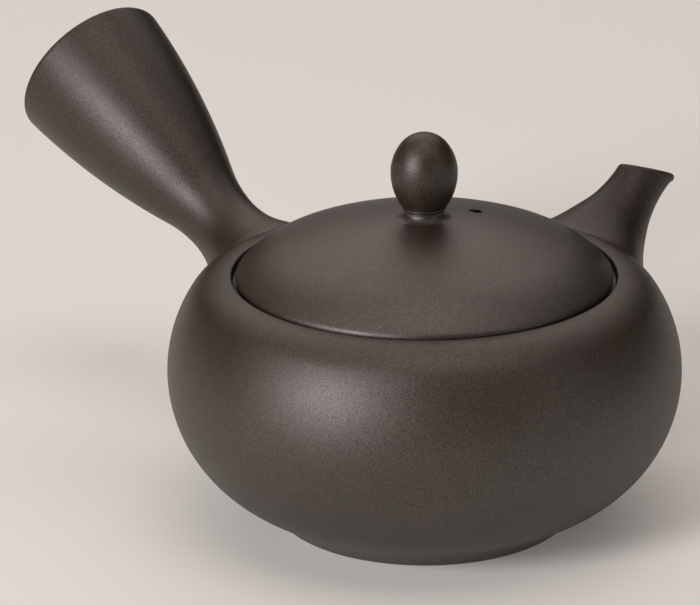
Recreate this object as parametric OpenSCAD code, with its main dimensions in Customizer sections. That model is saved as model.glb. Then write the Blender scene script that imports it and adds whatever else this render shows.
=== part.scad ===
// Side-handled teapot of unglazed dark clay, thrown as separate pieces and joined leather-hard.
// Frame: origin on the table at the centre of the foot, Z up, spout towards +X, handle to its left, by +Y.
// All lengths are in millimetres and all angles in degrees.

/* [Body] */
// Widest diameter of the belly
belly_d = 110; // [95:1:130]
// Radius of the belly's round side, seen in section
belly_curve = 30.5; // [27:0.5:36]
// Radius of the shoulder curve that turns in to the mouth
shoulder_curve = 10.2; // [7:0.2:12]
// How far the belly stands out beyond the rim of the mouth
shoulder_w = 13.6; // [12.5:0.1:17]
// Thickness of the thrown wall
wall = 2.8; // [2:0.1:3.6]
// Rounding of the mouth's edge
mouth_round = 0.5; // [0.3:0.1:1.2]
// Diameter of the flat foot
foot_d = 63.5; // [54:0.5:74]
// Height of the belly's lowest point above the table
foot_lift = 2; // [1.5:0.1:4]
// Radius of the hollow curve between foot and belly
foot_hollow = 40; // [24:1:80]
// Height of the level line where the base ends and the upright wall of the belly begins
base_h = 12; // [10:0.5:14]

/* [Lid seat] */
// Depth of the seat below the mouth's edge
seat_depth = 1.8; // [1.2:0.1:3]
// Width of the ledge that carries the lid
seat_w = 4.5; // [3.5:0.1:6]
// Thickness of the ledge
seat_t = 2.6; // [2:0.1:4]

/* [Lid] */
// Gap around the edge of the lid
lid_gap = 1.1; // [0.6:0.1:1.5]
// Radius of the round edge of the lid
lid_edge = 1.5; // [1.2:0.1:1.9]
// Radius of the crown of the lid
crown_curve = 84; // [70:1:110]
// Radius of the steeper curve near the edge of the lid
brim_curve = 24; // [20:0.5:32]
// Width of that steeper curve
brim_w = 9; // [6.5:0.1:11]
// Thickness of the lid
lid_t = 3; // [2.4:0.1:3.8]
// Depth of the locating flange below the seat
flange_h = 6; // [3:0.1:9]
// Thickness of the locating flange
flange_t = 2.5; // [1.8:0.1:3.4]
// Gap between flange and ledge
flange_gap = 0.6; // [0.4:0.1:1]
// Diameter of the air hole
vent_d = 3; // [1.5:0.1:4]
// Distance of the air hole from the centre of the lid
vent_at = 12.9; // [10:0.1:20]
// Turn of the air hole from the spout's side, with the lid set as it usually lies
vent_turn = -13; // [-180:1:180]

/* [Knob] */
// Widest diameter of the knob
knob_d = 14.2; // [13.2:0.1:17]
// Height of the knob from its neck to its top
knob_h = 16.3; // [14.5:0.1:18]
// Height of the knob's upper part, above the widest line
knob_top_h = 8.6; // [7.8:0.1:9.6]
// Radius of the knob's top
knob_top_curve = 6.2; // [5.2:0.1:6.5]
// Radius of the taper from the widest line down to the neck
knob_taper_curve = 12.8; // [11.5:0.1:18]
// Height of the neck above the crown of the lid
neck_lift = 2.2; // [1.8:0.1:3.2]
// Radius of the ring turned on the neck
neck_ring = 0.45; // [0.3:0.05:0.6]
// Radius of the hollow curve from the neck out to the lid
neck_curve = 2.8; // [2.2:0.1:3.4]

/* [Handle] */
// Angle from the spout round to the handle, seen from above
handle_turn = 88; // [75:1:105]
// Place of the handle on the belly curve, as an angle above the widest line
handle_at = 15.6; // [10:0.2:20]
// Rise of the handle's axis above the horizontal
handle_rise = 28.8; // [22:0.2:34]
// Length of the handle from the belly to its end
handle_l = 69.6; // [58:0.1:82]
// Diameter at the waist
waist_d = 16; // [14:0.1:19]
// Distance of the waist from the belly
waist_at = 15; // [13:0.1:18]
// Radius of the hollow curve from the waist to the root
handle_root_curve = 21; // [17:0.5:26]
// Splay of the root where it runs out onto the belly, from the handle's axis
handle_splay = 25; // [15:0.5:29]
// Radius of the hollow curve past the waist
waist_curve = 33; // [27:0.5:42]
// Radius of the full curve towards the end
handle_end_curve = 194; // [160:1:240]
// Diameter of the open end
handle_end_d = 37.7; // [33:0.1:43]
// Thickness of the handle's wall
handle_wall = 2.6; // [2:0.1:3.2]
// Solid clay at the root of the handle, between its hollow and the belly
handle_plug = 8; // [6:0.1:10]

/* [Spout] */
// Place of the spout on the belly curve, as an angle above the widest line
spout_at = 24; // [20:0.2:28]
// Rise of the spout's axis above the horizontal
spout_rise = 42.9; // [37:0.1:48]
// Length of the spout from the belly to the centre of its mouth
spout_l = 23.7; // [21:0.1:28]
// Narrowest outer diameter of the spout
spout_d = 11.6; // [10.5:0.1:13.5]
// Distance of the narrowest place from the belly
spout_narrow_at = 21; // [18:0.1:23.5]
// Radius of the spout's flared side
spout_curve = 29.5; // [25:0.1:34]
// Thickness of the spout's wall
spout_wall = 1.7; // [1.4:0.1:2]
// Splay of the root where it runs out onto the belly, from the spout's axis
spout_splay = 20; // [12:0.5:23]
// Rise of the direction that the cut mouth faces
spout_cut = 70; // [60:0.5:78]

/* [Strainer] */
// Place of the hole and its strainer on the belly curve, as an angle above the widest line
port_at = 13; // [9:0.2:16]
// Diameter of the hole that leads from the belly into the spout
port_d = 16.5; // [14:0.1:17]
// Width of the strainer's dome
strainer_w = 26; // [23:0.2:30]
// Rise of the strainer's dome
strainer_h = 8; // [7:0.1:9.5]
// Thickness of the strainer
strainer_t = 1.8; // [1.4:0.1:2.2]
// Diameter of the strainer's holes
pierce_d = 1.8; // [1:0.1:2]
// Spacing of the strainer's rings of holes
pierce_step = 3; // [2.6:0.1:3.2]
// Number of rings of holes around the centre one
pierce_rings = 3; // [1:1:3]

/* [Hidden] */
$fn = 160;
clay = [0.24, 0.21, 0.19];
// Reach of a cutting shape that has to clear the whole pot
far = 400;
// Greatest distance of a round outline's chords from its true curve
chord_sag = 0.02;
// Spare length of a cut past the face that it opens
over = 1;
// Holes that each further ring of the strainer adds, and the sides of one
ring_holes = 6;
pierce_sides = 24;

// Section of the body, as [radius, height]: centres of the belly and shoulder curves
belly_c = [belly_d / 2 - belly_curve, foot_lift + belly_curve];
rim_r = belly_d / 2 - shoulder_w;
shoulder_reach = belly_curve - shoulder_curve;
shoulder_c = [rim_r, belly_c.y + sqrt(pow(shoulder_reach, 2) - pow(rim_r - belly_c.x, 2))];
shoulder_a = atan2(shoulder_c.y - belly_c.y, rim_r - belly_c.x);
mouth_z = shoulder_c.y + shoulder_curve;
mouth_r = rim_r - mouth_round;
seat_z = mouth_z - seat_depth;
ledge_r = mouth_r - seat_w;

// Hollow curve from the edge of the foot up to the belly, which it meets without a step
foot_edge = [foot_d / 2, 0];
to_belly = belly_c - foot_edge;
hollow_reach = belly_curve + foot_hollow;
hollow_turn = acos((to_belly * to_belly + pow(foot_hollow, 2) - pow(hollow_reach, 2))
                   / (2 * norm(to_belly) * foot_hollow));
hollow_a = atan2(to_belly.y, to_belly.x) - hollow_turn;
hollow_c = foot_edge + foot_hollow * [cos(hollow_a), sin(hollow_a)];
hollow_end_a = atan2(hollow_c.y - belly_c.y, hollow_c.x - belly_c.x);

// Section of the lid: its round edge, then the brim and crown curves
lid_r = mouth_r - lid_gap;
edge_c = [lid_r - lid_edge, seat_z + lid_edge];
edge_meet_a = 38;
brim_end = edge_c + lid_edge * [cos(edge_meet_a), sin(edge_meet_a)];
crown_a = asin((brim_end.x - brim_w) / crown_curve);
brim_c_r = (crown_curve - brim_curve) * sin(crown_a);
brim_a = asin((brim_end.x - brim_c_r) / brim_curve);
brim_c = [brim_c_r, brim_end.y - brim_curve * cos(brim_a)];
crown_c = [0, brim_c.y - (crown_curve - brim_curve) * cos(crown_a)];
crown_top = crown_c.y + crown_curve;
flange_r = ledge_r - flange_gap;
flange_in = flange_r - flange_t;
under_a = asin(flange_in / (crown_curve - lid_t));

// Section of the knob
knob_r = knob_d / 2;
neck_z = crown_top + neck_lift;
knob_mid_z = neck_z + knob_h - knob_top_h;
knob_top_c = [0, knob_mid_z + knob_top_h - knob_top_curve];
knob_rise = knob_top_h - knob_top_curve;
knob_side_curve = (pow(knob_r, 2) + pow(knob_rise, 2) - pow(knob_top_curve, 2))
                  / (2 * (knob_r - knob_top_curve));
knob_side_c = [knob_r - knob_side_curve, knob_mid_z];
knob_side_a = atan2(knob_rise, -knob_side_c.x);
taper_c = [knob_r - knob_taper_curve, knob_mid_z];
neck_r = taper_c.x + sqrt(pow(knob_taper_curve, 2) - pow(knob_mid_z - neck_z, 2));
taper_a = atan2(neck_z - knob_mid_z, neck_r - taper_c.x);
neck_c = [neck_r + neck_curve, neck_z - neck_ring];
neck_ring_a = 60;
neck_foot_a = 260;
neck_foot = neck_c + neck_curve * [cos(neck_foot_a), sin(neck_foot_a)];

// Depth that the roots of handle and spout are carried into the belly before they are cut to its curve
root_depth = 0.75 * belly_curve;

// Section of the handle, as [radius, distance from the belly]
waist_r = waist_d / 2;
waist_c = [waist_r + waist_curve, waist_at];
to_end = [handle_l - waist_at, handle_end_d / 2 - waist_c.x];
curve_sum = waist_curve + handle_end_curve;
bend_reach = (to_end * to_end + pow(curve_sum, 2) - pow(handle_end_curve, 2)) / (2 * curve_sum);
bend_a = asin(bend_reach / norm(to_end)) - atan2(-to_end.y, to_end.x);
handle_root_c = [waist_r + handle_root_curve, waist_at];
handle_root_end = root_end(handle_root_c, handle_root_curve, handle_splay);
handle_end_c = waist_c + curve_sum * [-cos(bend_a), sin(bend_a)];

// Section of the spout, as [radius, distance from the belly]
spout_c = [spout_d / 2 + spout_curve, spout_narrow_at];
spout_root_end = root_end(spout_c, spout_curve, spout_splay);
spout_bore_end = root_end(spout_c, spout_curve + spout_wall, spout_splay);
spout_top = spout_l + spout_d / 2;

// Dome of the strainer
strainer_curve = (pow(strainer_w / 2, 2) + pow(strainer_h, 2)) / (2 * strainer_h);

// Points along a round stretch about c, from angle a0 to angle a1
function arc(c, r, a0, a1) =
    let (steps = ceil(abs(a1 - a0) / (2 * acos(1 - chord_sag / r))))
    [for (i = [0 : steps]) let (a = a0 + (a1 - a0) * i / steps) c + r * [cos(a), sin(a)]];

// Point on the belly curve at an angle above the widest line
function belly_at(a) = belly_c + belly_curve * [cos(a), sin(a)];

// End of a splayed root, carried straight on into the belly from the hollow curve about c
function root_end(c, r, splay) =
    c - r * [cos(splay), sin(splay)] + root_depth * [tan(splay), -1];

// Line of the handle from its waist to its end, drawn in by inset
function handle_line(inset) =
    let (end_a = asin((handle_l - handle_end_c.y) / (handle_end_curve - inset)))
    concat(arc(waist_c, waist_curve + inset, 180, 180 - bend_a),
           arc(handle_end_c, handle_end_curve - inset, -bend_a, end_a));

// Line of the spout from its splayed root to past its mouth, drawn in by inset
function spout_line(inset) =
    let (top_a = asin((spout_top - spout_narrow_at) / (spout_curve + inset)))
    arc(spout_c, spout_curve + inset, 180 + spout_splay, 180 - top_a);

// The same points in the other order
function reversed(points) = [for (i = [len(points) - 1 : -1 : 0]) points[i]];

// Outer curve of the lid's crown, from its centre outwards, which the knob also sits on
function crown_line() = arc(crown_c, crown_curve, 90, 90 - crown_a);

// Stands a shape that is built along Z on the belly at angle a, with its axis rising by tilt
module on_belly(a, tilt) {
    translate([belly_at(a).x, 0, belly_at(a).y]) rotate([0, 90 - tilt, 0]) children();
}

// Turns what stands over +X to the handle's side
module handle_side() {
    rotate([0, 0, handle_turn]) children();
}

// Rectangle in section, from radius r0 to r1 and from height z0 to z1
module block(r0, r1, z0, z1) {
    translate([r0, z0]) square([r1 - r0, z1 - z0]);
}

// Section of the closed belly, drawn in by inset from its outer curve
module belly_section(inset) {
    polygon(concat([[0, foot_lift + inset]], arc(belly_c, belly_curve - inset, -90, shoulder_a),
                   arc(shoulder_c, shoulder_curve - inset, shoulder_a, 90), [[0, mouth_z - inset]]));
}

// Solid filled to the outer curve of the belly and carried up over the mouth, to cut the roots
module belly_solid() {
    rotate_extrude() {
        belly_section(0);
        block(0, rim_r, mouth_z - over, far);
    }
}

// Section of the whole outside, from the flat foot to the mouth
module outside_section() {
    polygon(concat([[0, 0]], arc(hollow_c, foot_hollow, 180 + hollow_a, 180 + hollow_end_a),
                   arc(belly_c, belly_curve, hollow_end_a, shoulder_a),
                   arc(shoulder_c, shoulder_curve, shoulder_a, 90), [[0, mouth_z]]));
}

// Room inside the pot: the hollow belly, the ledge's hole and the mouth with its rounded edge
module room_section() {
    difference() {
        belly_section(wall);
        block(ledge_r, rim_r + wall, seat_z - seat_t, mouth_z);
    }
    block(0, ledge_r, seat_z - seat_t - over, mouth_z + over);
    block(0, mouth_r, seat_z, mouth_z + over);
    difference() {
        block(mouth_r - over, rim_r, mouth_z - mouth_round, mouth_z + over);
        translate([rim_r, mouth_z - mouth_round]) circle(mouth_round);
    }
}

// Thrown wall of the pot between two heights
module thrown_wall(z0, z1) {
    rotate_extrude() intersection() {
        difference() {
            outside_section();
            room_section();
        }
        block(0, belly_d, z0, z1);
    }
}

// Base of the thrown pot: the flat foot and the floor, up to where the wall turns upright
module base() {
    color(clay) thrown_wall(0, base_h);
}

// Thrown body on that base: belly, shoulder, and the ledge in the mouth that carries the lid
module body() {
    color(clay) difference() {
        thrown_wall(base_h, mouth_z + over);
        on_belly(port_at, port_at) translate([0, 0, -root_depth]) cylinder(d = port_d, h = 2 * root_depth);
    }
}

// Thrown handle: a hollow horn, open at its end
module handle() {
    color(clay) handle_side() difference() {
        on_belly(handle_at, handle_rise) rotate_extrude() polygon(concat(
            [[0, handle_root_end.y], handle_root_end],
            arc(handle_root_c, handle_root_curve, 180 + handle_splay, 180),
            handle_line(0), reversed(handle_line(handle_wall)),
            [[waist_r - handle_wall, handle_plug], [0, handle_plug]]));
        belly_solid();
    }
}

// Thrown spout, cut aslant at its mouth
module spout() {
    color(clay) difference() {
        on_belly(spout_at, spout_rise) rotate_extrude() polygon(concat(
            [spout_root_end], spout_line(0), reversed(spout_line(spout_wall)),
            [spout_bore_end]));
        on_belly(spout_at, spout_rise) translate([0, 0, spout_l]) rotate([0, spout_rise - spout_cut, 0])
            translate([-far / 2, -far / 2, 0]) cube([far, far, far]);
        belly_solid();
    }
}

// Pierced dome that keeps the leaves out of the spout
module strainer() {
    color(clay) difference() {
        intersection() {
            on_belly(port_at, port_at) translate([0, 0, strainer_curve - strainer_h - wall]) difference() {
                sphere(strainer_curve);
                sphere(strainer_curve - strainer_t);
            }
            rotate_extrude() room_section();
        }
        on_belly(port_at, port_at) for (ring = [0 : pierce_rings], i = [0 : max(ring_holes * ring, 1) - 1])
            rotate([0, 0, 360 * i / max(ring_holes * ring, 1)]) translate([ring * pierce_step, 0, -root_depth])
                cylinder(d = pierce_d, h = root_depth, $fn = pierce_sides);
    }
}

// Thrown lid: a shallow dome with a round edge, a locating flange and an air hole towards the spout
module lid() {
    color(clay) difference() {
        rotate_extrude() polygon(concat(
            crown_line(),
            arc(brim_c, brim_curve, 90 - crown_a, 90 - brim_a),
            arc(edge_c, lid_edge, edge_meet_a, -90),
            [[flange_r, seat_z], [flange_r, seat_z - flange_h], [flange_in, seat_z - flange_h]],
            arc(crown_c, crown_curve - lid_t, 90 - under_a, 90)));
        rotate([0, 0, vent_turn]) translate([vent_at, 0, seat_z]) cylinder(d = vent_d, h = crown_curve);
    }
}

// Egg-shaped knob on a turned neck, worked out onto the crown of the lid
module knob() {
    color(clay) rotate_extrude() difference() {
        polygon(concat(
            arc(knob_top_c, knob_top_curve, 90, knob_side_a),
            arc(knob_side_c, knob_side_curve, knob_side_a, 0),
            arc(taper_c, knob_taper_curve, 0, taper_a),
            arc([neck_r, neck_z], neck_ring, neck_ring_a, -90),
            arc(neck_c, neck_curve, 180, neck_foot_a),
            [[neck_foot.x, seat_z], [0, seat_z]]));
        polygon(concat([[0, 0]], crown_line(), [[lid_r, 0]]));
    }
}

base();
body();
spout();
handle();
strainer();
lid();
knob();
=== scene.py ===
import math

import bmesh
import bpy
import numpy as np
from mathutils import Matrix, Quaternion, Vector


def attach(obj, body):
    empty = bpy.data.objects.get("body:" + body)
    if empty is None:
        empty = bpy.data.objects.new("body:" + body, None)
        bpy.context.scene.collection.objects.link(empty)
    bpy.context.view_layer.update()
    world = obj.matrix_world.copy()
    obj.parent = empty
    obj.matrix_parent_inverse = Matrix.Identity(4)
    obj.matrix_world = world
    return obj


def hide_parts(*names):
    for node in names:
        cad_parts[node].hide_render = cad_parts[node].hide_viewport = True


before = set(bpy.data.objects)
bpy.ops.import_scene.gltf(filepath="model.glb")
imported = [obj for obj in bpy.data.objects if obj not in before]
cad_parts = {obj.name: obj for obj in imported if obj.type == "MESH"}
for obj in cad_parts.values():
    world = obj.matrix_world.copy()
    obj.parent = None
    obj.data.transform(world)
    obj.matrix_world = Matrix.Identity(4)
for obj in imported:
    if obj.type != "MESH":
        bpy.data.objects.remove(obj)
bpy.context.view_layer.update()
mm = 0.001  # the potter's sizes below are in millimetres, their angles in degrees
print("frame loaded:", ", ".join(sorted(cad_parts)))


# Where the picture looks from: right, away and up, turned into the pot's own directions
spoutTurn = 44.4  # the spout points this far round from the picture's right


def fromView(right, away, up):
    turn = math.radians(-spoutTurn)
    return Vector((
        right * math.cos(turn) - away * math.sin(turn),
        right * math.sin(turn) + away * math.cos(turn),
        up,
    ))


def pointing(swing, rise):
    # swing turns from straight behind the pot towards the picture's right, rise lifts
    swing, rise = math.radians(swing), math.radians(rise)
    return fromView(math.sin(swing) * math.cos(rise), math.cos(swing) * math.cos(rise), math.sin(rise))


cameraSettings = {
    "aim": (-0.0158, 0.0, 0.0471),
    "distance": 0.7674,
    "swing": -1.252,
    "rise": 19.98,
    "roll": -0.441,
    "lens": 185.28,
    "sensor": 36.0,
}


def makeCamera(settings):
    look = pointing(settings["swing"], -settings["rise"])
    camera = bpy.data.objects.new("camera", bpy.data.cameras.new("camera"))
    bpy.context.scene.collection.objects.link(camera)
    camera.data.sensor_width = settings["sensor"]
    camera.data.lens = settings["lens"]
    camera.location = fromView(*settings["aim"]) - look * settings["distance"]
    camera.rotation_mode = "QUATERNION"
    tilt = Quaternion((0, 0, 1), math.radians(settings["roll"]))
    camera.rotation_quaternion = look.to_track_quat("-Z", "Y") @ tilt
    bpy.context.scene.camera = camera


makeCamera(cameraSettings)
print("camera set")


# Outlines are lists of (distance from the axis, height)
def arcPoints(centre, radius, fromDegrees, toDegrees, count):
    turn = np.radians(np.linspace(fromDegrees, toDegrees, count))
    return np.column_stack([centre[0] + radius * np.cos(turn), centre[1] + radius * np.sin(turn)])


def unit(vectors):
    return vectors / np.linalg.norm(vectors, axis=-1, keepdims=True)


def eased(share):
    # from 0 to 1 with a level start and a level end
    return share * share * (3 - 2 * share)


def softCorner(before, corner, after, reach, count=7):
    # takes the sharpness off a corner; works on one corner or on a ring of them
    before, corner, after = (np.asarray(p, float) for p in (before, corner, after))
    start = corner + reach * unit(before - corner)
    end = corner + reach * unit(after - corner)
    along = np.linspace(0, 1, count).reshape((-1,) + (1,) * corner.ndim)
    return (1 - along) ** 2 * start + 2 * along * (1 - along) * corner + along ** 2 * end


def linePoints(start, end, count):
    # points strictly between two ends
    share = np.linspace(0, 1, count + 2)[1:-1, None]
    return np.asarray(start) * (1 - share) + np.asarray(end) * share


def gridFaces(rows, around, closed=False):
    faces = []
    for i in range(rows if closed else rows - 1):
        low = i * around
        high = (i + 1) % rows * around
        for j in range(around):
            k = (j + 1) % around
            faces.append((low + j, low + k, high + k, high + j))
    return faces


def fanFaces(pole, first, around):
    return [(pole, first + j, first + (j + 1) % around) for j in range(around)]


softEdge = 32.0  # faces that meet at less than this angle are shaded as one surface


def makePiece(name, rows, firstPole=None, lastPole=None, closed=False, crease=softEdge):
    # rows is a stack of rings of points in millimetres; poles close the ends
    count, around = rows.shape[:2]
    points = [tuple(p) for p in rows.reshape(-1, 3) * mm]
    faces = gridFaces(count, around, closed)
    for pole, first in ((firstPole, 0), (lastPole, (count - 1) * around)):
        if pole is not None:
            faces += fanFaces(len(points), first, around)
            points.append(tuple(np.asarray(pole, float) * mm))
    mesh = bpy.data.meshes.new(name)
    mesh.from_pydata(points, [], faces)
    turned = bmesh.new()
    turned.from_mesh(mesh)
    bmesh.ops.recalc_face_normals(turned, faces=turned.faces)
    turned.to_mesh(mesh)
    turned.free()
    mesh.shade_smooth()
    mesh.set_sharp_from_angle(angle=math.radians(crease))
    piece = bpy.data.objects.new(name, mesh)
    bpy.context.scene.collection.objects.link(piece)
    return piece


def throwOnWheel(name, outline, around, crease=softEdge):
    # turns an outline that starts and ends on the axis
    outline = np.asarray(outline, float)
    turn = np.linspace(0, 2 * math.pi, around, endpoint=False)
    ring = np.column_stack([np.cos(turn), np.sin(turn)])
    rows = np.zeros((len(outline) - 2, around, 3))
    rows[:, :, :2] = outline[1:-1, 0, None, None] * ring
    rows[:, :, 2] = outline[1:-1, 1, None]
    return makePiece(name, rows, (0, 0, outline[0, 1]), (0, 0, outline[-1, 1]), crease=crease)


def cutAway(piece, cutter):
    cut = piece.modifiers.new("cut", "BOOLEAN")
    cut.object = cutter
    cut.solver = "EXACT"
    whole = piece.evaluated_get(bpy.context.evaluated_depsgraph_get())
    mesh = bpy.data.meshes.new_from_object(whole)
    piece.modifiers.clear()
    piece.data = mesh
    mesh.name = piece.name
    bpy.data.objects.remove(cutter)


def joinFrame(piece, body, *nodes):
    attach(piece, body)
    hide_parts(*nodes)


# The body: foot, belly, shoulder, mouth and the ledge that carries the lid
bodyShape = {
    "bellyRadius": 55.0,
    "bellyCurve": 30.5,
    "shoulderCurve": 10.2,
    "shoulderWidth": 13.6,
    "wall": 2.8,
    "mouthRound": 0.5,
    "footRadius": 31.75,
    "footLift": 2.0,
    "footHollow": 40.0,
    "footRound": 0.6,
    "seatDepth": 1.8,
    "seatWidth": 4.5,
    "seatThick": 2.6,
    "seatRound": 0.5,
    "portRadius": 8.25,
    "portAngle": 13.0,
    "portReach": 8.4,
    "portAround": 64,
    "floorPoints": 8,
    "hollowPoints": 20,
    "bellyPoints": 90,
    "shoulderPoints": 36,
    "mouthPoints": 9,
    "innerShoulderPoints": 10,
    "innerBellyPoints": 70,
    "around": 288,
}
bellyCurve = bodyShape["bellyCurve"]
bellyCentre = np.array([bodyShape["bellyRadius"] - bellyCurve, bodyShape["footLift"] + bellyCurve])
rimRadius = bodyShape["bellyRadius"] - bodyShape["shoulderWidth"]
shoulderCurve = bodyShape["shoulderCurve"]
shoulderRise = math.sqrt((bellyCurve - shoulderCurve) ** 2 - (rimRadius - bellyCentre[0]) ** 2)
shoulderCentre = np.array([rimRadius, bellyCentre[1] + shoulderRise])
shoulderAngle = math.degrees(math.atan2(shoulderRise, rimRadius - bellyCentre[0]))
mouthHeight = shoulderCentre[1] + shoulderCurve
mouthRadius = rimRadius - bodyShape["mouthRound"]
seatHeight = mouthHeight - bodyShape["seatDepth"]
ledgeRadius = mouthRadius - bodyShape["seatWidth"]


def footHollow(edge, curve, count):
    # hollow curve from the edge of the foot up to the belly, which it meets without a step
    toBelly = bellyCentre - edge
    reach = bellyCurve + curve
    span = np.linalg.norm(toBelly)
    turn = math.acos((span ** 2 + curve ** 2 - reach ** 2) / (2 * span * curve))
    start = math.atan2(toBelly[1], toBelly[0]) - turn
    centre = edge + curve * np.array([math.cos(start), math.sin(start)])
    end = math.degrees(math.atan2(centre[1] - bellyCentre[1], centre[0] - bellyCentre[0]))
    return arcPoints(centre, curve, 180 + math.degrees(start), 180 + end, count), end


def bodyOutline(shape):
    wall = shape["wall"]
    footCorner = np.array([shape["footRadius"], 0.0])
    hollowLine, hollowEnd = footHollow(footCorner, shape["footHollow"], shape["hollowPoints"])
    afterFoot = hollowLine[np.linalg.norm(hollowLine - footCorner, axis=1) > shape["footRound"]]
    ledgeLow = seatHeight - shape["seatThick"]
    floorHeight = shape["footLift"] + wall
    innerShoulder = shoulderCurve - wall
    ledgeAngle = math.degrees(math.asin((ledgeLow - shoulderCentre[1]) / innerShoulder))
    ledgeEnd = shoulderCentre + innerShoulder * np.array(
        [math.cos(math.radians(ledgeAngle)), math.sin(math.radians(ledgeAngle))]
    )
    seatCorner = (ledgeRadius, seatHeight)
    ledgeCorner = (ledgeRadius, ledgeLow)
    edge, lip = shape["seatRound"], shape["mouthRound"]
    return np.vstack([
        [(0.0, 0.0)],
        linePoints((0.0, 0.0), footCorner, shape["floorPoints"]),
        softCorner((0.0, 0.0), footCorner, afterFoot[0], shape["footRound"]),
        afterFoot,
        arcPoints(bellyCentre, bellyCurve, hollowEnd, shoulderAngle, shape["bellyPoints"])[1:],
        arcPoints(shoulderCentre, shoulderCurve, shoulderAngle, 90, shape["shoulderPoints"])[1:],
        arcPoints((rimRadius, mouthHeight - lip), lip, 90, 180, shape["mouthPoints"])[1:],
        softCorner((mouthRadius, mouthHeight), (mouthRadius, seatHeight), seatCorner, edge),
        softCorner((mouthRadius, seatHeight), seatCorner, ledgeCorner, edge),
        softCorner(seatCorner, ledgeCorner, ledgeEnd, edge),
        arcPoints(shoulderCentre, innerShoulder, ledgeAngle, shoulderAngle, shape["innerShoulderPoints"]),
        arcPoints(bellyCentre, bellyCurve - wall, shoulderAngle, -90, shape["innerBellyPoints"])[1:],
        linePoints((bellyCentre[0], floorHeight), (0.0, floorHeight), shape["floorPoints"]),
        [(0.0, floorHeight)],
    ])


# A place on the belly where a handle or a spout stands: its foot, axis and cross directions
def placeOnBelly(turn, angle, rise):
    turn, angle, rise = (math.radians(a) for a in (turn, angle, rise))
    out = np.array([math.cos(turn), math.sin(turn), 0.0])
    upright = np.array([0.0, 0.0, 1.0])
    radius = bellyCentre[0] + bellyCurve * math.cos(angle)
    foot = out * radius + upright * (bellyCentre[1] + bellyCurve * math.sin(angle))
    return {
        "foot": foot,
        "axis": out * math.cos(rise) + upright * math.sin(rise),
        "side": np.array([-math.sin(turn), math.cos(turn), 0.0]),
        "top": upright * math.cos(rise) - out * math.sin(rise),
    }


def crossDirections(place, around):
    turn = np.linspace(0, 2 * math.pi, around, endpoint=False)[:, None]
    return np.cos(turn) * place["side"] + np.sin(turn) * place["top"]


def pointsAt(place, cross, along, width):
    return place["foot"] + along[..., None] * place["axis"] + width[..., None] * cross


def makeBody(shape):
    piece = throwOnWheel("body_thrown", bodyOutline(shape), shape["around"])
    place = placeOnBelly(0.0, shape["portAngle"], shape["portAngle"])
    around, reach = shape["portAround"], shape["portReach"]
    cross = crossDirections(place, around)
    rows = np.stack([
        pointsAt(place, cross, np.full(around, along), np.full(around, shape["portRadius"]))
        for along in (-reach, reach)
    ])
    ends = (place["foot"] - reach * place["axis"], place["foot"] + reach * place["axis"])
    cutAway(piece, makePiece("port", rows, *ends))
    joinFrame(piece, "pot", "base", "body")
    return piece


bodyPiece = makeBody(bodyShape)
print("body thrown")


# How far points stand off the outside of the pot, and the nearest points at a depth under it
def nearArc(points):
    # the arc of the body's outline that each point lies off
    section = np.stack([np.hypot(points[..., 0], points[..., 1]), points[..., 2]], -1)
    fromBelly = section - bellyCentre
    onShoulder = np.degrees(np.arctan2(fromBelly[..., 1], fromBelly[..., 0])) > shoulderAngle
    centre = np.where(onShoulder[..., None], shoulderCentre, bellyCentre)
    return {
        "radius": section[..., 0],
        "onShoulder": onShoulder,
        "centre": centre,
        "curve": np.where(onShoulder, shoulderCurve, bellyCurve),
        "away": section - centre,
    }


def standOff(points):
    arc = nearArc(points)
    gap = np.linalg.norm(arc["away"], axis=-1) - arc["curve"]
    overMouth = arc["onShoulder"] & (arc["radius"] < rimRadius)
    return np.where(overMouth, points[..., 2] - mouthHeight, gap)


def underSkin(points, depth):
    arc = nearArc(points)
    section = arc["centre"] + (arc["curve"] - depth)[..., None] * unit(arc["away"])
    scale = (section[..., 0] / arc["radius"])[..., None]
    return np.concatenate([points[..., :2] * scale, section[..., 1:]], -1)


# A tube that is narrowest at one place, opens to its root behind it and flares ahead of it
def flaredRadius(along, narrow, narrowAt, rootCurve, rootSplay, rootEnd, flare):
    splay = math.radians(rootSplay)
    bent = rootCurve * math.sin(splay)
    behind = np.clip(narrowAt - along, 0, narrowAt - rootEnd)
    curved = np.minimum(behind, bent)
    ahead = np.clip(along - narrowAt, 0, flare / 2)
    toRoot = rootCurve - np.sqrt(rootCurve ** 2 - curved ** 2) + (behind - curved) * math.tan(splay)
    return narrow + toRoot + flare - np.sqrt(flare ** 2 - ahead ** 2)


# The joint of a root is smoothed out onto the belly, as wet clay is with a thumb
smoothing = {
    "sink": 0.12,
    "step": 0.25,
    "rimFade": 15.0,
    "leastBlend": 0.6,
    "rows": 56,
    "depth": 1.2,
    "finishReach": 9.0,
    "probe": 1e-4,
    "settleRounds": 3,
    "leastSteep": 1e-6,
    "mostSteps": 400,
}


def smoothedJoint(place, cross, radiusAt, blend, along, width):
    points = pointsAt(place, cross, along, width)
    offTube = width - radiusAt(along)
    offPot = standOff(points)
    fromRim = (np.hypot(points[..., 0], points[..., 1]) - rimRadius) / smoothing["rimFade"]
    fade = np.clip(fromRim, 0, 1)
    spread = np.maximum(blend * eased(fade), smoothing["leastBlend"])
    mix = np.clip(1 - np.abs(offTube - offPot) / spread, 0, 1)
    level = np.minimum(offTube, offPot) - mix * mix * spread / 4
    onPot = offTube > offPot
    return level + np.where(onPot, smoothing["sink"] * (1 - mix) ** 2, 0), mix, onPot


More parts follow.
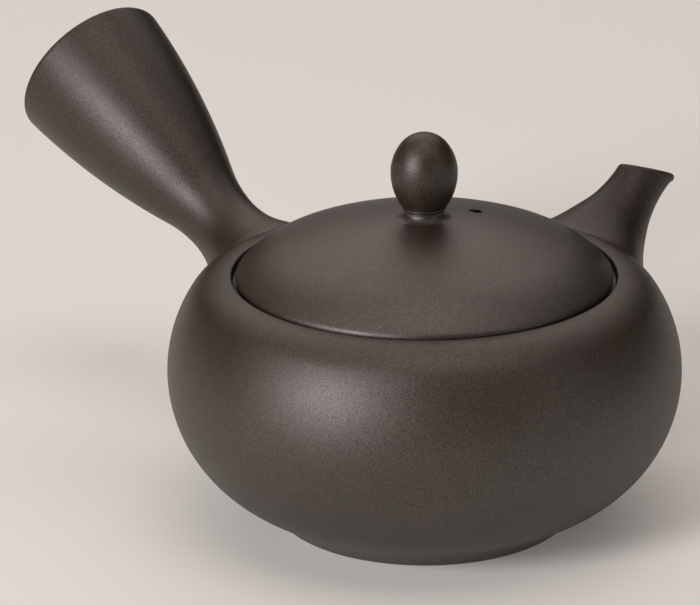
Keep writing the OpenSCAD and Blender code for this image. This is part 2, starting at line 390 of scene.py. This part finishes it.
def traceRoot(place, cross, radiusAt, start, blend):
    # follows the smoothed joint from the tube down onto the belly, all round at once
    around = len(cross)
    along = np.full(around, start)
    width = radiusAt(along)
    probe = smoothing["probe"]
    trail = [np.stack([along, width], -1)]
    done = np.zeros(around, bool)

    def slope(along, width):
        level = smoothedJoint(place, cross, radiusAt, blend, along, width)[0]
        further = smoothedJoint(place, cross, radiusAt, blend, along + probe, width)[0]
        wider = smoothedJoint(place, cross, radiusAt, blend, along, width + probe)[0]
        return level, np.stack([further - level, wider - level], -1) / probe

    while not done.all() and len(trail) < smoothing["mostSteps"]:
        steep = slope(along, width)[1]
        heading = unit(np.stack([-steep[:, 1], steep[:, 0]], -1))
        nextAlong = along + smoothing["step"] * heading[:, 0]
        nextWidth = width + smoothing["step"] * heading[:, 1]
        for _ in range(smoothing["settleRounds"]):
            level, steep = slope(nextAlong, nextWidth)
            back = level / np.maximum((steep ** 2).sum(-1), smoothing["leastSteep"])
            nextAlong = nextAlong - back * steep[:, 0]
            nextWidth = nextWidth - back * steep[:, 1]
        along = np.where(done, along, nextAlong)
        width = np.where(done, width, nextWidth)
        mix, onPot = smoothedJoint(place, cross, radiusAt, blend, along, width)[1:]
        trail.append(np.stack([along, width], -1))
        done = done | (onPot & (mix <= 0))
    return evenRows(np.array(trail), smoothing["rows"])


def evenRows(trail, count):
    # spreads a fixed number of rows evenly along each column of the trail
    rows = np.zeros((count,) + trail.shape[1:])
    for j in range(trail.shape[1]):
        strides = np.linalg.norm(np.diff(trail[:, j], axis=0), axis=-1)
        travelled = np.concatenate([[0], np.cumsum(strides)])
        share = np.linspace(0, travelled[-1], count)
        for axis in range(trail.shape[2]):
            rows[:, j, axis] = np.interp(share, travelled, trail[:, j, axis])
    return rows


def noteApart(piece, offSkin, reach):
    # lets the finish and painted tone of a joined piece run over into those of the piece it stands on
    points = np.array([vertex.co for vertex in piece.data.vertices]) / mm
    share = np.clip(offSkin(points) / reach, 0, 1)
    layer = piece.data.attributes.new("apart", "FLOAT", "POINT")
    layer.data.foreach_set("value", share.astype(np.float32))


def hiddenRows(outer, inner, count):
    # rows inside the clay wall of the body, from one ring to another
    share = np.linspace(0, 1, count)[:, None, None]
    return underSkin(outer * (1 - share) + inner * share, np.full(outer.shape[:1], smoothing["depth"]))


# The handle: a hollow horn with a waist, open at its end
handleShape = {
    "turn": 88.0,
    "onBelly": 15.6,
    "rise": 28.8,
    "length": 69.6,
    "waistRadius": 8.0,
    "waistAt": 15.0,
    "waistCurve": 33.0,
    "rootCurve": 21.0,
    "rootSplay": 25.0,
    "rootEnd": 3.0,
    "endRadius": 18.85,
    "endCurve": 194.0,
    "wall": 2.6,
    "plug": 8.0,
    "rimRound": 0.9,
    "blend": 6.0,
    "rootFrom": 16.5,
    "waistPoints": 24,
    "endPoints": 60,
    "plugPoints": 3,
    "capRows": 9,
    "around": 224,
}


def hornLine(shape, inset):
    # from the waist to the end, as (distance from the handle's axis, distance along it)
    waistCentre = np.array([shape["waistRadius"] + shape["waistCurve"], shape["waistAt"]])
    toEnd = np.array([shape["length"] - shape["waistAt"], shape["endRadius"] - waistCentre[0]])
    both = shape["waistCurve"] + shape["endCurve"]
    reach = (toEnd @ toEnd + both ** 2 - shape["endCurve"] ** 2) / (2 * both * np.linalg.norm(toEnd))
    bend = math.degrees(math.asin(reach) - math.atan2(-toEnd[1], toEnd[0]))
    bendAngle = math.radians(bend)
    endCentre = waistCentre + both * np.array([-math.cos(bendAngle), math.sin(bendAngle)])
    endCurve = shape["endCurve"] - inset
    endAngle = math.degrees(math.asin((shape["length"] - endCentre[1]) / endCurve))
    return np.vstack([
        arcPoints(waistCentre, shape["waistCurve"] + inset, 180, 180 - bend, shape["waistPoints"]),
        arcPoints(endCentre, endCurve, -bend, endAngle, shape["endPoints"])[1:],
    ])


def makeHandle(shape):
    place = placeOnBelly(shape["turn"], shape["onBelly"], shape["rise"])
    cross = crossDirections(place, shape["around"])
    outer = hornLine(shape, 0.0)
    inner = hornLine(shape, shape["wall"])
    rim = shape["rimRound"]
    plugCentre, plugEdge = (0.0, shape["plug"]), (inner[0, 0], shape["plug"])
    outer = outer[outer[:, 1] > shape["rootFrom"]]

    def waistRadiusAt(along):
        return flaredRadius(
            along, shape["waistRadius"], shape["waistAt"],
            shape["rootCurve"], shape["rootSplay"], shape["rootEnd"], shape["waistCurve"],
        )

    horn = np.vstack([
        linePoints(plugCentre, plugEdge, shape["plugPoints"]),
        softCorner(plugCentre, plugEdge, inner[0], rim),
        inner[inner[:, 1] < shape["length"] - rim],
        softCorner(inner[-2], inner[-1], outer[-1], rim),
        softCorner(inner[-1], outer[-1], outer[-2], rim),
        outer[outer[:, 1] < shape["length"] - rim][::-1],
    ])
    hornRows = pointsAt(place, cross, *(np.repeat(horn[:, i, None], len(cross), 1) for i in (1, 0)))
    root = traceRoot(place, cross, waistRadiusAt, shape["rootFrom"], shape["blend"])
    rootRows = pointsAt(place, cross, root[..., 0], root[..., 1])
    foot = place["foot"]
    capEnd = np.broadcast_to(foot, rootRows[-1].shape)
    capRows = hiddenRows(rootRows[-1], capEnd, shape["capRows"])[:-1]
    firstPole = foot + shape["plug"] * place["axis"]
    lastPole = underSkin(foot, np.array(smoothing["depth"]))
    rows = np.concatenate([hornRows, rootRows, capRows])
    piece = makePiece("handle_thrown", rows, firstPole, lastPole)
    noteApart(piece, standOff, smoothing["finishReach"])
    joinFrame(piece, "pot", "handle")
    return piece


handlePiece = makeHandle(handleShape)
print("handle thrown and joined")


# The spout: a short flared tube, cut aslant, with its lip rounded off
spoutShape = {
    "turn": 0.0,
    "onBelly": 24.0,
    "rise": 42.9,
    "length": 23.9,
    "narrowRadius": 5.8,
    "narrowAt": 21.0,
    "flare": 29.5,
    "rootSplay": 20.0,
    "rootEnd": 0.0,
    "wall": 1.7,
    "cutRise": 67.0,
    "cutTurn": 16.0,
    "lipRound": 0.8,
    "tipRound": 1.1,
    "tipThick": 1.0,
    "blend": 11.0,
    "rootFrom": 19.2,
    "funnelFrom": 8.0,
    "lipEase": 3,
    "cutRounds": 12,
    "outerRows": 10,
    "innerRows": 20,
    "seamRows": 7,
    "funnelRows": 10,
    "around": 160,
}


def makeSpout(shape):
    place = placeOnBelly(shape["turn"], shape["onBelly"], shape["rise"])
    cross = crossDirections(place, shape["around"])
    flare = shape["flare"]
    cutRise, cutTurn = math.radians(shape["cutRise"]), math.radians(shape["cutTurn"])
    facing = np.array([
        math.cos(cutRise) * math.cos(cutTurn), math.cos(cutRise) * math.sin(cutTurn), math.sin(cutRise)
    ])
    lean = (cross @ facing) / (place["axis"] @ facing)
    # the lip grows thicker and rounder towards the tip that the tea leaves from
    tip = np.clip(-lean / np.abs(lean).max(), 0, 1) ** 2
    lipRound = (shape["lipRound"] + shape["tipRound"] * tip)[:, None]
    lipWall = shape["wall"] + shape["tipThick"] * tip

    def tubeRadiusAt(along):
        return flaredRadius(
            along, shape["narrowRadius"], shape["narrowAt"],
            flare, shape["rootSplay"], shape["rootEnd"], flare,
        )

    def cutRing(inset):
        along = np.full(len(cross), shape["length"])
        for _ in range(shape["cutRounds"]):
            along = shape["length"] - (tubeRadiusAt(along) - inset) * lean
        return np.stack([along, tubeRadiusAt(along) - inset], -1)

    def tubeRows(ring, start, count, inset=0.0, lipInset=0.0):
        share = np.linspace(0, 1, count)[:, None]
        along = start * (1 - share) + ring[:, 0] * share
        drawnIn = inset + (lipInset - inset) * share ** shape["lipEase"]
        return np.stack([along, tubeRadiusAt(along) - drawnIn], -1)

    outerRing = cutRing(0.0)
    innerRing = cutRing(lipWall)
    back = np.array([-1.0, 0.0])  # along the tube, towards its root
    lipOuter = softCorner(outerRing + back, outerRing, innerRing, lipRound)
    lipInner = softCorner(outerRing, innerRing, innerRing + back, shape["lipRound"])
    outerRows = tubeRows(lipOuter[0], shape["rootFrom"], shape["outerRows"])[1:-1]
    innerRows = tubeRows(lipInner[-1], shape["funnelFrom"], shape["innerRows"], shape["wall"], lipWall)
    root = traceRoot(place, cross, tubeRadiusAt, shape["rootFrom"], shape["blend"])
    skin = np.concatenate([root[::-1], outerRows, lipOuter, lipInner, innerRows[::-1][1:]])
    skinRows = pointsAt(place, cross, skin[..., 0], skin[..., 1])
    port = placeOnBelly(shape["turn"], bodyShape["portAngle"], bodyShape["portAngle"])
    portCross = crossDirections(port, shape["around"])
    portWidth = np.full(len(cross), bodyShape["portRadius"])
    portRing = pointsAt(port, portCross, np.zeros(len(cross)), portWidth)
    seam = hiddenRows(portRing, skinRows[0], shape["seamRows"])
    narrowing = eased(np.linspace(0, 1, shape["funnelRows"])[1:-1, None, None])
    funnel = skinRows[-1] * (1 - narrowing) + seam[0] * narrowing
    piece = makePiece("spout_thrown", np.concatenate([skinRows, funnel, seam]), closed=True)
    noteApart(piece, standOff, smoothing["finishReach"])
    joinFrame(piece, "pot", "spout")
    return piece


spoutPiece = makeSpout(spoutShape)
print("spout thrown and joined")


# The lid: a shallow dome with a rounded edge, a locating flange and an air hole
lidShape = {
    "gap": 0.85,
    "edgeRound": 1.5,
    "edgeMeet": 38.0,
    "crownCurve": 85.5,
    "brimCurve": 24.0,
    "brimWidth": 9.0,
    "thick": 3.0,
    "flangeHeight": 6.0,
    "flangeThick": 2.5,
    "flangeGap": 0.6,
    "flangeRound": 1.0,
    "ventRadius": 1.38,
    "ventLip": 0.12,
    "ventAt": 12.9,
    "ventTurn": -13.0,
    "ventAround": 48,
    "crownPoints": 60,
    "brimPoints": 24,
    "edgePoints": 20,
    "underPoints": 40,
    "around": 288,
}
lidRadius = mouthRadius - lidShape["gap"]
edgeRound = lidShape["edgeRound"]
edgeCentre = np.array([lidRadius - edgeRound, seatHeight + edgeRound])
edgeMeet = math.radians(lidShape["edgeMeet"])
brimEnd = edgeCentre + edgeRound * np.array([math.cos(edgeMeet), math.sin(edgeMeet)])
crownCurve, brimCurve = lidShape["crownCurve"], lidShape["brimCurve"]
crownAngle = math.asin((brimEnd[0] - lidShape["brimWidth"]) / crownCurve)
brimRadius = (crownCurve - brimCurve) * math.sin(crownAngle)
brimAngle = math.asin((brimEnd[0] - brimRadius) / brimCurve)
brimCentre = np.array([brimRadius, brimEnd[1] - brimCurve * math.cos(brimAngle)])
crownHeight = brimCentre[1] - (crownCurve - brimCurve) * math.cos(crownAngle)
crownTop = crownHeight + crownCurve


def lidOutline(shape):
    flangeOuter = ledgeRadius - shape["flangeGap"]
    flangeInner = flangeOuter - shape["flangeThick"]
    flangeLow = seatHeight - shape["flangeHeight"]
    underCurve = crownCurve - shape["thick"]
    underAngle = math.degrees(math.asin(flangeInner / underCurve))
    underEnd = (flangeInner, crownHeight + underCurve * math.cos(math.radians(underAngle)))
    outerFoot, innerFoot = (flangeOuter, flangeLow), (flangeInner, flangeLow)
    edge = shape["flangeRound"]
    crown, brim = 90 - math.degrees(crownAngle), 90 - math.degrees(brimAngle)
    return np.vstack([
        arcPoints((0.0, crownHeight), crownCurve, 90, crown, shape["crownPoints"]),
        arcPoints(brimCentre, brimCurve, crown, brim, shape["brimPoints"])[1:],
        arcPoints(edgeCentre, edgeRound, shape["edgeMeet"], -90, shape["edgePoints"])[1:],
        softCorner((lidRadius, seatHeight), (flangeOuter, seatHeight), outerFoot, edge),
        softCorner((flangeOuter, seatHeight), outerFoot, innerFoot, edge),
        softCorner(outerFoot, innerFoot, underEnd, edge),
        arcPoints((0.0, crownHeight), underCurve, 90 - underAngle, 90, shape["underPoints"]),
    ])


def makeLid(shape):
    piece = throwOnWheel("lid_thrown", lidOutline(shape), shape["around"])
    turn = math.radians(shape["ventTurn"])
    centre = np.array([shape["ventAt"] * math.cos(turn), shape["ventAt"] * math.sin(turn)])
    top = crownHeight + math.sqrt(crownCurve ** 2 - shape["ventAt"] ** 2)
    hole, lip, thick = shape["ventRadius"], shape["ventLip"], shape["thick"]
    below, above = -2 * thick, thick
    drill = [(hole, below), (hole, -2 * lip), (hole + lip, lip), (hole + lip, above)]
    ring = np.linspace(0, 2 * math.pi, shape["ventAround"], endpoint=False)
    rows = np.stack([
        np.column_stack([
            centre[0] + radius * np.cos(ring),
            centre[1] + radius * np.sin(ring),
            np.full(len(ring), top + height),
        ])
        for radius, height in drill
    ])
    ends = (np.append(centre, top + below), np.append(centre, top + above))
    cutAway(piece, makePiece("drill", rows, *ends))
    joinFrame(piece, "lid", "lid")
    return piece


lidPiece = makeLid(lidShape)
print("lid thrown and pierced")


# The knob: an egg on a turned neck, with a fine ring above a groove, worked out onto the lid
knobShape = {
    "radius": 7.1,
    "height": 16.3,
    "topHeight": 8.6,
    "topCurve": 6.2,
    "taperCurve": 12.8,
    "neckLift": 2.2,
    "ring": 0.46,
    "ringInset": 0.30,
    "ringFrom": 60.0,
    "groove": 0.28,
    "flareWide": 3.0,
    "flareTall": 1.85,
    "depth": 1.0,
    "finishReach": 3.5,
    "crease": 60.0,
    "topPoints": 30,
    "sidePoints": 20,
    "taperPoints": 60,
    "ringPoints": 24,
    "flarePoints": 20,
    "around": 160,
}


def knobOutline(shape):
    neck = crownTop + shape["neckLift"]
    middle = neck + shape["height"] - shape["topHeight"]
    radius, topCurve, taper = shape["radius"], shape["topCurve"], shape["taperCurve"]
    topRise = shape["topHeight"] - topCurve
    sideCurve = (radius ** 2 + topRise ** 2 - topCurve ** 2) / (2 * (radius - topCurve))
    sideAngle = math.degrees(math.atan2(topRise, sideCurve - radius))
    taperRadius = radius - taper
    neckRadius = taperRadius + math.sqrt(taper ** 2 - (middle - neck) ** 2)
    taperAngle = math.degrees(math.atan2(neck - middle, neckRadius - taperRadius))
    flareEnd = neckRadius - shape["groove"] + shape["flareWide"]
    lidAt = crownHeight + math.sqrt(crownCurve ** 2 - flareEnd ** 2)
    flareHeight = lidAt + shape["flareTall"] - smoothing["sink"]
    quarter = arcPoints((0.0, 0.0), 1.0, 180, 270, shape["flarePoints"])
    flareLine = quarter * (shape["flareWide"], shape["flareTall"])
    sunk = lidAt - shape["depth"]
    taperCentre = np.array([taperRadius, middle])
    ringCentre = np.array([neckRadius - shape["ringInset"], neck])
    taperLine = arcPoints(taperCentre, taper, 0, taperAngle, shape["taperPoints"])[1:]
    ringLine = arcPoints(ringCentre, shape["ring"], shape["ringFrom"], -90, shape["ringPoints"])
    return np.vstack([
        arcPoints((0.0, middle + topRise), topCurve, 90, sideAngle, shape["topPoints"]),
        arcPoints((radius - sideCurve, middle), sideCurve, sideAngle, 0, shape["sidePoints"])[1:],
        taperLine[np.linalg.norm(taperLine - ringCentre, axis=1) > shape["ring"]],
        ringLine[np.linalg.norm(ringLine - taperCentre, axis=1) > taper],
        flareLine + (flareEnd, flareHeight),
        [(flareEnd, sunk), (flareEnd / 2, sunk), (0.0, sunk)],
    ])


def offLid(points):
    radius = np.hypot(points[..., 0], points[..., 1])
    return points[..., 2] - crownHeight - np.sqrt(crownCurve ** 2 - radius ** 2)


def makeKnob(shape):
    piece = throwOnWheel("knob_turned", knobOutline(shape), shape["around"], shape["crease"])
    noteApart(piece, offLid, shape["finishReach"])
    joinFrame(piece, "lid", "knob")
    return piece


knobPiece = makeKnob(knobShape)
print("knob turned")


# Shared surface effects, as node groups
def newGroup(name, inputs, outputs):
    group = bpy.data.node_groups.new(name, "ShaderNodeTree")
    for title, value in inputs.items():
        socket = group.interface.new_socket(title, in_out="INPUT", socket_type="NodeSocketFloat")
        socket.default_value = value
    for title in outputs:
        group.interface.new_socket(title, in_out="OUTPUT", socket_type="NodeSocketFloat")
    entry = group.nodes.new("NodeGroupInput")
    leave = group.nodes.new("NodeGroupOutput")
    return group, entry.outputs, leave.inputs


def findSocket(node, key):
    # in0, in1 and so on go by number, any other name as it stands
    byNumber = key.startswith("in") and key[2:].isdigit()
    return node.inputs[int(key[2:]) if byNumber else key]


def addNode(tree, kind, settings=None, **inputs):
    node = tree.nodes.new(kind)
    for key, value in (settings or {}).items():
        setattr(node, key, value)
    for key, value in inputs.items():
        socket = findSocket(node, key)
        if isinstance(value, bpy.types.NodeSocket):
            tree.links.new(value, socket)
        else:
            socket.default_value = value
    return node


def addMath(tree, operation, first, second):
    return addNode(tree, "ShaderNodeMath", {"operation": operation}, in0=first, in1=second).outputs[0]


def addVectorMath(tree, operation, **inputs):
    return addNode(tree, "ShaderNodeVectorMath", {"operation": operation}, **inputs).outputs[0]


def addColourMix(tree, share, first, second):
    # the colour sockets have the same names as the others of this node, so they go by number
    node = addNode(tree, "ShaderNodeMix", {"data_type": "RGBA"}, in0=share, in6=first, in7=second)
    return node.outputs[2]


def addMap(tree, value, fromSpan=(0.0, 1.0), toSpan=(0.0, 1.0), easing="LINEAR"):
    # carries a value from one span over to another and holds it at the ends
    node = addNode(tree, "ShaderNodeMapRange", {"interpolation_type": easing}, Value=value)
    node.inputs["From Min"].default_value = fromSpan[0]
    node.inputs["From Max"].default_value = fromSpan[1]
    node.inputs["To Min"].default_value = toSpan[0]
    node.inputs["To Max"].default_value = toSpan[1]
    return node.outputs["Result"]


def addNoise(tree, place, scale, detail, roughness):
    node = addNode(
        tree, "ShaderNodeTexNoise", {"noise_dimensions": "3D"},
        Vector=place, Scale=scale, Detail=detail, Roughness=roughness,
    )
    return node.outputs["Fac"]


noiseMiddle = (0.3, 0.7)  # most values of a noise lie between these
# scales are in cells to the metre
grainSettings = {
    "cloudScale": 22.0,
    "cloudDetail": 3.0,
    "cloudRough": 0.55,
    "grainScale": 4300.0,
    "grainDetail": 2.0,
    "grainRough": 0.6,
    "gritScale": 640.0,
    "gritPick": (0.955, 0.965),
    "gritEdge": (0.13, 0.06),
}
ringSettings = {"scale": 420.0, "detail": 2.0, "rough": 0.5, "drift": 0.03}


def makeGrainGroup(settings):
    # sandy clay: soft clouds, fine grain, and sparse pale grits that show at the surface
    scales = {
        "Cloud Scale": settings["cloudScale"],
        "Grain Scale": settings["grainScale"],
        "Grit Scale": settings["gritScale"],
    }
    group, given, result = newGroup("clayGrain", scales, ("Cloud", "Grain", "Grit"))
    place = addNode(group, "ShaderNodeTexCoord").outputs["Object"]
    cloud = addNoise(group, place, given["Cloud Scale"], settings["cloudDetail"], settings["cloudRough"])
    grain = addNoise(group, place, given["Grain Scale"], settings["grainDetail"], settings["grainRough"])
    cells = addNode(
        group, "ShaderNodeTexVoronoi", {"feature": "F1"}, Vector=place, Scale=given["Grit Scale"]
    )
    pick = addNode(group, "ShaderNodeSeparateColor", Color=cells.outputs["Color"])
    chosen = addMap(group, pick.outputs[0], settings["gritPick"], easing="SMOOTHSTEP")
    near = addMap(group, cells.outputs["Distance"], settings["gritEdge"], easing="SMOOTHSTEP")
    group.links.new(cloud, result["Cloud"])
    group.links.new(grain, result["Grain"])
    group.links.new(addMath(group, "MULTIPLY", chosen, near), result["Grit"])
    return group


def makeRingGroup(settings):
    # faint rings left by the potter's fingers and the rib as the wheel turned
    group, given, result = newGroup("wheelRings", {"Ring Scale": settings["scale"]}, ("Rings",))
    place = addNode(group, "ShaderNodeTexCoord").outputs["Object"]
    parts = addNode(group, "ShaderNodeSeparateXYZ", Vector=place)
    level = addNode(group, "ShaderNodeCombineXYZ", Z=parts.outputs["Z"]).outputs[0]
    drift = addVectorMath(group, "SCALE", in0=place, Scale=settings["drift"])
    along = addVectorMath(group, "ADD", in0=level, in1=drift)
    rings = addNoise(group, along, given["Ring Scale"], settings["detail"], settings["rough"])
    group.links.new(rings, result["Rings"])
    return group


grainGroup = makeGrainGroup(grainSettings)
ringGroup = makeRingGroup(ringSettings)


# How the pieces differ; a joined piece runs over into the finish and painted tone of the piece it stands
# on
# all pieces are one clay: a tone below 1 is painted shade, a tone above 1 painted light
finishesAndPaintedLight = {
    "bodyClay": {"onto": "bodyClay", "tone": 1.0, "sheen": 1.0, "rougher": 0.0, "rings": 0.25},
    "handleClay": {"onto": "bodyClay", "tone": 0.85, "sheen": 0.74, "rougher": -0.055, "rings": 0.0},
    "spoutClay": {"onto": "bodyClay", "tone": 0.83, "sheen": 0.55, "rougher": 0.0, "rings": 0.0},
    "lidClay": {"onto": "lidClay", "tone": 0.97, "sheen": 1.3, "rougher": -0.015, "rings": 0.2},
    "knobClay": {"onto": "lidClay", "tone": 1.0, "sheen": 0.76, "rougher": -0.055, "rings": 0.3},
    "strainerClay": {"onto": "strainerClay", "tone": 1.2, "sheen": 0.6, "rougher": 0.055, "rings": 0.0},
}
clay = {
    "dark": (0.0240, 0.0171, 0.0121, 1.0),
    "pale": (0.0312, 0.0222, 0.0157, 1.0),
    "gritColour": (0.14, 0.115, 0.09, 1.0),
    "rough": (0.35, 0.42),
    "grainContrast": 0.85,
    "grainGlint": 0.36,
    "grainDepth": 0.00009,
    "ringDepth": 0.00008,
    "ior": 1.42,
    "coatIor": 1.65,
    "coatRough": 0.47,
    "facingBlend": 0.5,
    "facing": (0.30, 0.95),
    "specular": (0.95, 0.18),
}


def makeClay(name, finishAndPaintedLight):
    material = bpy.data.materials.new(name)
    material.use_nodes = True
    tree = material.node_tree
    tree.nodes.clear()
    grain = addNode(tree, "ShaderNodeGroup", {"node_tree": grainGroup}).outputs
    rings = addNode(tree, "ShaderNodeGroup", {"node_tree": ringGroup}).outputs
    apart = addNode(tree, "ShaderNodeAttribute", {"attribute_name": "apart"}).outputs["Fac"]
    root = finishesAndPaintedLight[finishAndPaintedLight["onto"]]

    def own(quality):
        # goes from the finish and painted tone at the joint to the piece's own
        return addMap(tree, apart, toSpan=(root[quality], finishAndPaintedLight[quality]))

    contrast, glint = clay["grainContrast"], clay["grainGlint"]
    cloud = addMap(tree, grain["Cloud"], noiseMiddle, easing="SMOOTHSTEP")
    shade = addColourMix(tree, cloud, clay["dark"], clay["pale"])
    grainTone = addMap(tree, grain["Grain"], noiseMiddle, (1 - contrast, 1 + contrast))
    # painted shade or painted light: the piece's tone darkens or lightens the grained clay colour
    tone = addMath(tree, "MULTIPLY", grainTone, own("tone"))
    sandyWithPaintedLight = addVectorMath(tree, "SCALE", in0=shade, Scale=tone)
    grittyWithPaintedLight = addColourMix(tree, grain["Grit"], sandyWithPaintedLight, clay["gritColour"])
    patchy = addMap(tree, grain["Cloud"], noiseMiddle, clay["rough"])
    # the open grain of the clay dulls the sheen where the surface turns away
    facing = addNode(tree, "ShaderNodeLayerWeight", Blend=clay["facingBlend"]).outputs["Facing"]
    facingSheen = addMap(tree, facing, clay["facing"], clay["specular"])
    sheen = addMath(tree, "MULTIPLY", facingSheen, own("sheen"))
    # a share of the sheen glints on the grains, as a thin coat
    grainShine = addMap(tree, grain["Grain"], noiseMiddle, (0.0, 2 * glint))
    ringHeight = addMath(tree, "MULTIPLY", rings["Rings"], finishAndPaintedLight["rings"] * clay["ringDepth"])
    grainHeight = addMath(tree, "MULTIPLY", grain["Grain"], clay["grainDepth"])
    height = addMath(tree, "ADD", ringHeight, grainHeight)
    bump = addNode(tree, "ShaderNodeBump", Height=height, Distance=1.0)  # the height is in metres
    surface = addNode(tree, "ShaderNodeBsdfPrincipled", **{
        "Base Color": grittyWithPaintedLight,
        "Roughness": addMath(tree, "ADD", patchy, own("rougher")),
        "IOR": clay["ior"],
        "Specular IOR Level": addMath(tree, "MULTIPLY", sheen, 1 - glint),
        "Coat Weight": addMath(tree, "MULTIPLY", sheen, grainShine),
        "Coat Roughness": clay["coatRough"] + finishAndPaintedLight["rougher"],
        "Coat IOR": clay["coatIor"],
        "Normal": bump.outputs[0],
    })
    addNode(tree, "ShaderNodeOutputMaterial", Surface=surface.outputs[0])
    return material


clayOn = {
    "bodyClay": bodyPiece,
    "handleClay": handlePiece,
    "spoutClay": spoutPiece,
    "lidClay": lidPiece,
    "knobClay": knobPiece,
    "strainerClay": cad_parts["strainer"],
}
for clayName, clayPiece in clayOn.items():
    clayPiece.data.materials.clear()
    clayPiece.data.materials.append(makeClay(clayName, finishesAndPaintedLight[clayName]))
print("clay finishes laid on")


# Table, lights and surroundings
stageSettings = {
    "tableColour": (0.69, 0.705, 0.687, 1.0),
    "tableHalf": 4.0,
    "tableRough": 0.9,
    "tableSheen": 0.1,
    "windowColour": (1.0, 0.92, 0.895),
    "roomColour": (1.0, 0.875, 0.805),
    "worldStrength": 0.02,
    # painted light: the table glows a little, which lightens the pot's shadow on it and lights the pot
    # from below
    "tableGlow": 0.12,
    "lampAim": (0.0, 0.0, 0.03),
}
# each lamp stands where its swing, from straight behind the pot to the right, and its rise say
lamps = {
    "windowHigh": {"swing": -135, "rise": 24, "distance": 1.9, "wide": 0.66, "tall": 0.66, "watts": 26.3},
    "windowLow": {"swing": -136, "rise": 9, "distance": 1.9, "wide": 0.66, "tall": 0.51, "watts": 7.3},
    "overhead": {"swing": 180, "rise": 80, "distance": 1.4, "wide": 1.0, "tall": 1.0, "watts": 5.0},
    "leftTop": {"swing": -90, "rise": 55, "distance": 1.4, "wide": 0.8, "tall": 0.8, "watts": 0.8},
    "backTop": {"swing": 0, "rise": 52, "distance": 1.4, "wide": 2.2, "tall": 0.8, "watts": 5.4},
    "rightTop": {"swing": 120, "rise": 55, "distance": 1.4, "wide": 1.2, "tall": 0.8, "watts": 2.0},
    "backdrop": {"swing": -6, "rise": 27, "distance": 1.4, "wide": 1.35, "tall": 0.6, "watts": 2.0},
    "rightFill": {"swing": 120, "rise": 14, "distance": 1.4, "wide": 0.6, "tall": 0.6, "watts": 1.2},
}


def makeTable(settings):
    half = settings["tableHalf"]
    corners = [(-half, -half, 0.0), (half, -half, 0.0), (half, half, 0.0), (-half, half, 0.0)]
    mesh = bpy.data.meshes.new("table")
    mesh.from_pydata(corners, [], [(0, 1, 2, 3)])
    table = bpy.data.objects.new("table", mesh)
    bpy.context.scene.collection.objects.link(table)
    material = bpy.data.materials.new("tablePaper")
    material.use_nodes = True
    surface = material.node_tree.nodes["Principled BSDF"]
    surface.inputs["Base Color"].default_value = settings["tableColour"]
    surface.inputs["Roughness"].default_value = settings["tableRough"]
    surface.inputs["Specular IOR Level"].default_value = settings["tableSheen"]
    # painted light: the table's glow
    surface.inputs["Emission Color"].default_value = (*settings["windowColour"], 1.0)
    surface.inputs["Emission Strength"].default_value = settings["tableGlow"]
    mesh.materials.append(material)


def makeLamp(name, settings):
    light = bpy.data.lights.new(name, "AREA")
    light.shape = "ELLIPSE"
    light.size = settings["wide"]
    light.size_y = settings["tall"]
    light.energy = settings["watts"]
    light.color = stageSettings["windowColour" if name.startswith("window") else "roomColour"]
    lamp = bpy.data.objects.new(name, light)
    bpy.context.scene.collection.objects.link(lamp)
    toward = pointing(settings["swing"], settings["rise"])
    lamp.location = Vector(stageSettings["lampAim"]) + toward * settings["distance"]
    lamp.rotation_mode = "QUATERNION"
    lamp.rotation_quaternion = toward.to_track_quat("Z", "Y")


def makeWorld(settings):
    world = bpy.data.worlds.new("studio")
    bpy.context.scene.world = world
    world.use_nodes = True
    glow = world.node_tree.nodes["Background"]
    glow.inputs["Color"].default_value = (*settings["roomColour"], 1.0)
    glow.inputs["Strength"].default_value = settings["worldStrength"]


makeTable(stageSettings)
makeWorld(stageSettings)
for lampName, lampSettings in lamps.items():
    makeLamp(lampName, lampSettings)
bpy.context.scene.view_settings.view_transform = "Standard"
print("table and lamps placed")
